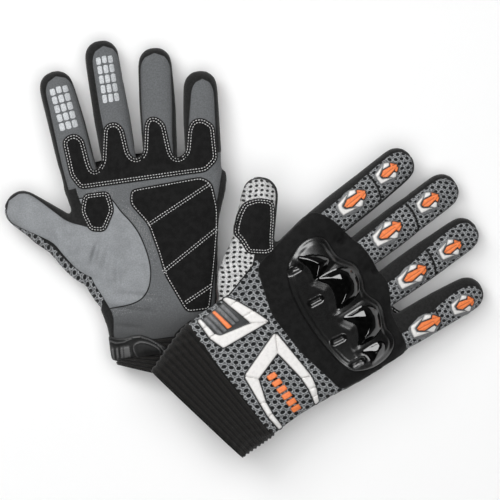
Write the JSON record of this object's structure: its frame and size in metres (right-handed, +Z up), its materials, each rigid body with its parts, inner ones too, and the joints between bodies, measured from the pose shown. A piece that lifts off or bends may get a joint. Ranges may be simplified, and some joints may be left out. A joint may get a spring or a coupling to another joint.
{
  "type": "riding gloves",
  "caption": "Pair of off-road riding gloves laid one over the other: hollow hand, finger stalls and cuff, moulded knuckle guard, badges, palm patches and wrist tab.",
  "frame": {"origin": "on the table under the middle of the pair's bounding box", "axes": "+Z up, away from the table; +Y towards the left glove's fingertips; +X towards the right glove's fingertips"},
  "size_m": [0.3365, 0.2915, 0.0486],
  "materials": {
    "palm_suede": "matt synthetic suede, mid grey",
    "black_suede": "matt black synthetic suede",
    "air_mesh": "three-dimensional knitted mesh, grey over black",
    "rib_knit": "ribbed elastic knit, black",
    "guard_rubber": "moulded rubber, satin with gloss domes",
    "white_rubber": "welded moulded rubber, off-white",
    "orange_rubber": "welded moulded rubber, orange",
    "strap_rubber": "moulded rubber, dark grey"
  },
  "bodies": {
    "left_glove": {"left_arrow_badge": "white_rubber", "left_cuff": "rib_knit", "left_hand_shell": "air_mesh", "left_heel_patch": "black_suede", "left_knuckle_guard": "guard_rubber", "left_knuckle_panel": "black_suede", "left_name_bar": "orange_rubber", "left_palm_patch": "black_suede", "left_rib_badge": "white_rubber", "left_thumb_crotch_patch": "black_suede"},
    "right_glove": {"right_arrow_badge": "white_rubber", "right_cuff": "rib_knit", "right_hand_shell": "air_mesh", "right_heel_patch": "black_suede", "right_knuckle_guard": "guard_rubber", "right_knuckle_panel": "black_suede", "right_name_bar": "orange_rubber", "right_palm_patch": "black_suede", "right_rib_badge": "white_rubber", "right_thumb_crotch_patch": "black_suede"},
    "left_index_proximal": {"left_index_lower_badge": "white_rubber", "left_index_proximal": "palm_suede"},
    "left_index_distal": {"left_index_distal": "palm_suede", "left_index_upper_badge": "white_rubber"},
    "left_middle_proximal": {"left_middle_lower_badge": "white_rubber", "left_middle_proximal": "palm_suede"},
    "left_middle_distal": {"left_middle_distal": "palm_suede", "left_middle_upper_badge": "white_rubber"},
    "left_ring_proximal": {"left_ring_lower_badge": "white_rubber", "left_ring_proximal": "palm_suede"},
    "left_ring_distal": {"left_ring_distal": "palm_suede", "left_ring_upper_badge": "white_rubber"},
    "left_little_proximal": {"left_little_lower_badge": "white_rubber", "left_little_proximal": "palm_suede"},
    "left_little_distal": {"left_little_distal": "palm_suede", "left_little_upper_badge": "white_rubber"},
    "left_thumb_proximal": {"left_thumb_panel": "black_suede", "left_thumb_proximal": "palm_suede"},
    "left_thumb_distal": {"left_thumb_distal": "palm_suede"},
    "left_strap": {"left_strap_tab": "strap_rubber"},
    "right_index_proximal": {"right_index_lower_badge": "white_rubber", "right_index_proximal": "palm_suede"},
    "right_index_distal": {"right_index_distal": "palm_suede", "right_index_upper_badge": "white_rubber"},
    "right_middle_proximal": {"right_middle_lower_badge": "white_rubber", "right_middle_proximal": "palm_suede"},
    "right_middle_distal": {"right_middle_distal": "palm_suede", "right_middle_upper_badge": "white_rubber"},
    "right_ring_proximal": {"right_ring_lower_badge": "white_rubber", "right_ring_proximal": "palm_suede"},
    "right_ring_distal": {"right_ring_distal": "palm_suede", "right_ring_upper_badge": "white_rubber"},
    "right_little_proximal": {"right_little_lower_badge": "white_rubber", "right_little_proximal": "palm_suede"},
    "right_little_distal": {"right_little_distal": "palm_suede", "right_little_upper_badge": "white_rubber"},
    "right_thumb_proximal": {"right_thumb_panel": "black_suede", "right_thumb_proximal": "palm_suede"},
    "right_thumb_distal": {"right_thumb_distal": "palm_suede"},
    "right_strap": {"right_strap_tab": "strap_rubber"}
  },
  "joints": [
    {"name": "left_index_knuckle", "type": "hinge", "parent": "left_glove", "child": "left_index_proximal", "pos_m": [-0.11666, 0.05798, 0.02623], "axis": [0.965, 0.2622, 0], "range_deg": [0, 80]},
    {"name": "left_index_mid_joint", "type": "hinge", "parent": "left_index_proximal", "child": "left_index_distal", "pos_m": [-0.12558, 0.09079, 0.02313], "axis": [0.965, 0.2622, 0], "range_deg": [0, 95]},
    {"name": "left_middle_knuckle", "type": "hinge", "parent": "left_glove", "child": "left_middle_proximal", "pos_m": [-0.08829, 0.0665, 0.0259], "axis": [0.9863, 0.165, 0], "range_deg": [0, 80]},
    {"name": "left_middle_mid_joint", "type": "hinge", "parent": "left_middle_proximal", "child": "left_middle_distal", "pos_m": [-0.09456, 0.10398, 0.02239], "axis": [0.9863, 0.165, 0], "range_deg": [0, 95]},
    {"name": "left_ring_knuckle", "type": "hinge", "parent": "left_glove", "child": "left_ring_proximal", "pos_m": [-0.05845, 0.06967, 0.02593], "axis": [0.9981, 0.061, 0], "range_deg": [0, 80]},
    {"name": "left_ring_mid_joint", "type": "hinge", "parent": "left_ring_proximal", "child": "left_ring_distal", "pos_m": [-0.06028, 0.09961, 0.0231], "axis": [0.9981, 0.061, 0], "range_deg": [0, 95]},
    {"name": "left_little_knuckle", "type": "hinge", "parent": "left_glove", "child": "left_little_proximal", "pos_m": [-0.02811, 0.06382, 0.02653], "axis": [0.9996, 0.0279, 0], "range_deg": [0, 80]},
    {"name": "left_little_mid_joint", "type": "hinge", "parent": "left_little_proximal", "child": "left_little_distal", "pos_m": [-0.02872, 0.08531, 0.02484], "axis": [0.9996, 0.0279, 0], "range_deg": [0, 95]},
    {"name": "left_thumb_knuckle", "type": "hinge", "parent": "left_glove", "child": "left_thumb_proximal", "pos_m": [-0.12808, 0.00822, 0.02753], "axis": [0.5446, 0.8387, 0], "range_deg": [0, 45]},
    {"name": "left_thumb_mid_joint", "type": "hinge", "parent": "left_thumb_proximal", "child": "left_thumb_distal", "pos_m": [-0.1457, 0.01966, 0.0262], "axis": [0.5446, 0.8387, 0], "range_deg": [0, 70]},
    {"name": "left_strap_peel", "type": "hinge", "parent": "left_glove", "child": "left_strap", "pos_m": [-0.09312, -0.06809, 0.01663], "axis": [0.1219, -0.9925, 0], "range_deg": [0, 100]},
    {"name": "right_index_knuckle", "type": "hinge", "parent": "right_glove", "child": "right_index_proximal", "pos_m": [0.06029, 0.0214, 0.01645], "axis": [-0.6189, 0.7793, 0.098], "range_deg": [0, 80]},
    {"name": "right_index_mid_joint", "type": "hinge", "parent": "right_index_proximal", "child": "right_index_distal", "pos_m": [0.08629, 0.0427, 0.01122], "axis": [-0.6189, 0.7793, 0.098], "range_deg": [0, 95]},
    {"name": "right_middle_knuckle", "type": "hinge", "parent": "right_glove", "child": "right_middle_proximal", "pos_m": [0.08376, -0.00012, 0.01258], "axis": [-0.5861, 0.8049, 0.0928], "range_deg": [0, 80]},
    {"name": "right_middle_mid_joint", "type": "hinge", "parent": "right_middle_proximal", "child": "right_middle_distal", "pos_m": [0.11299, 0.02184, 0.00676], "axis": [-0.5861, 0.8049, 0.0928], "range_deg": [0, 95]},
    {"name": "right_ring_knuckle", "type": "hinge", "parent": "right_glove", "child": "right_ring_proximal", "pos_m": [0.10118, -0.02594, 0.00988], "axis": [-0.558, 0.8251, 0.0884], "range_deg": [0, 80]},
    {"name": "right_ring_mid_joint", "type": "hinge", "parent": "right_ring_proximal", "child": "right_ring_distal", "pos_m": [0.12547, -0.00899, 0.005], "axis": [-0.558, 0.8251, 0.0884], "range_deg": [0, 95]},
    {"name": "right_little_knuckle", "type": "hinge", "parent": "right_glove", "child": "right_little_proximal", "pos_m": [0.11049, -0.05744, 0.00869], "axis": [-0.4637, 0.8829, 0.0734], "range_deg": [0, 80]},
    {"name": "right_little_mid_joint", "type": "hinge", "parent": "right_little_proximal", "child": "right_little_distal", "pos_m": [0.12917, -0.04734, 0.00522], "axis": [-0.4637, 0.8829, 0.0734], "range_deg": [0, 95]},
    {"name": "right_thumb_knuckle", "type": "hinge", "parent": "right_glove", "child": "right_thumb_proximal", "pos_m": [0.0032, 0.00404, 0.02442], "axis": [-0.9755, 0.1564, 0.1545], "range_deg": [0, 45]},
    {"name": "right_thumb_mid_joint", "type": "hinge", "parent": "right_thumb_proximal", "child": "right_thumb_distal", "pos_m": [0.00655, 0.02576, 0.02358], "axis": [-0.9755, 0.1564, 0.1545], "range_deg": [0, 70]},
    {"name": "right_strap_peel", "type": "hinge", "parent": "right_glove", "child": "right_strap", "pos_m": [-0.04163, -0.05466, 0.03553], "axis": [0.7783, 0.6157, -0.1233], "range_deg": [0, 7]},
    {"name": "right_glove_lift", "type": "slide", "parent": "left_glove", "child": "right_glove", "axis": [0, 0, 1], "range_m": [0, 0.12]}
  ]
}
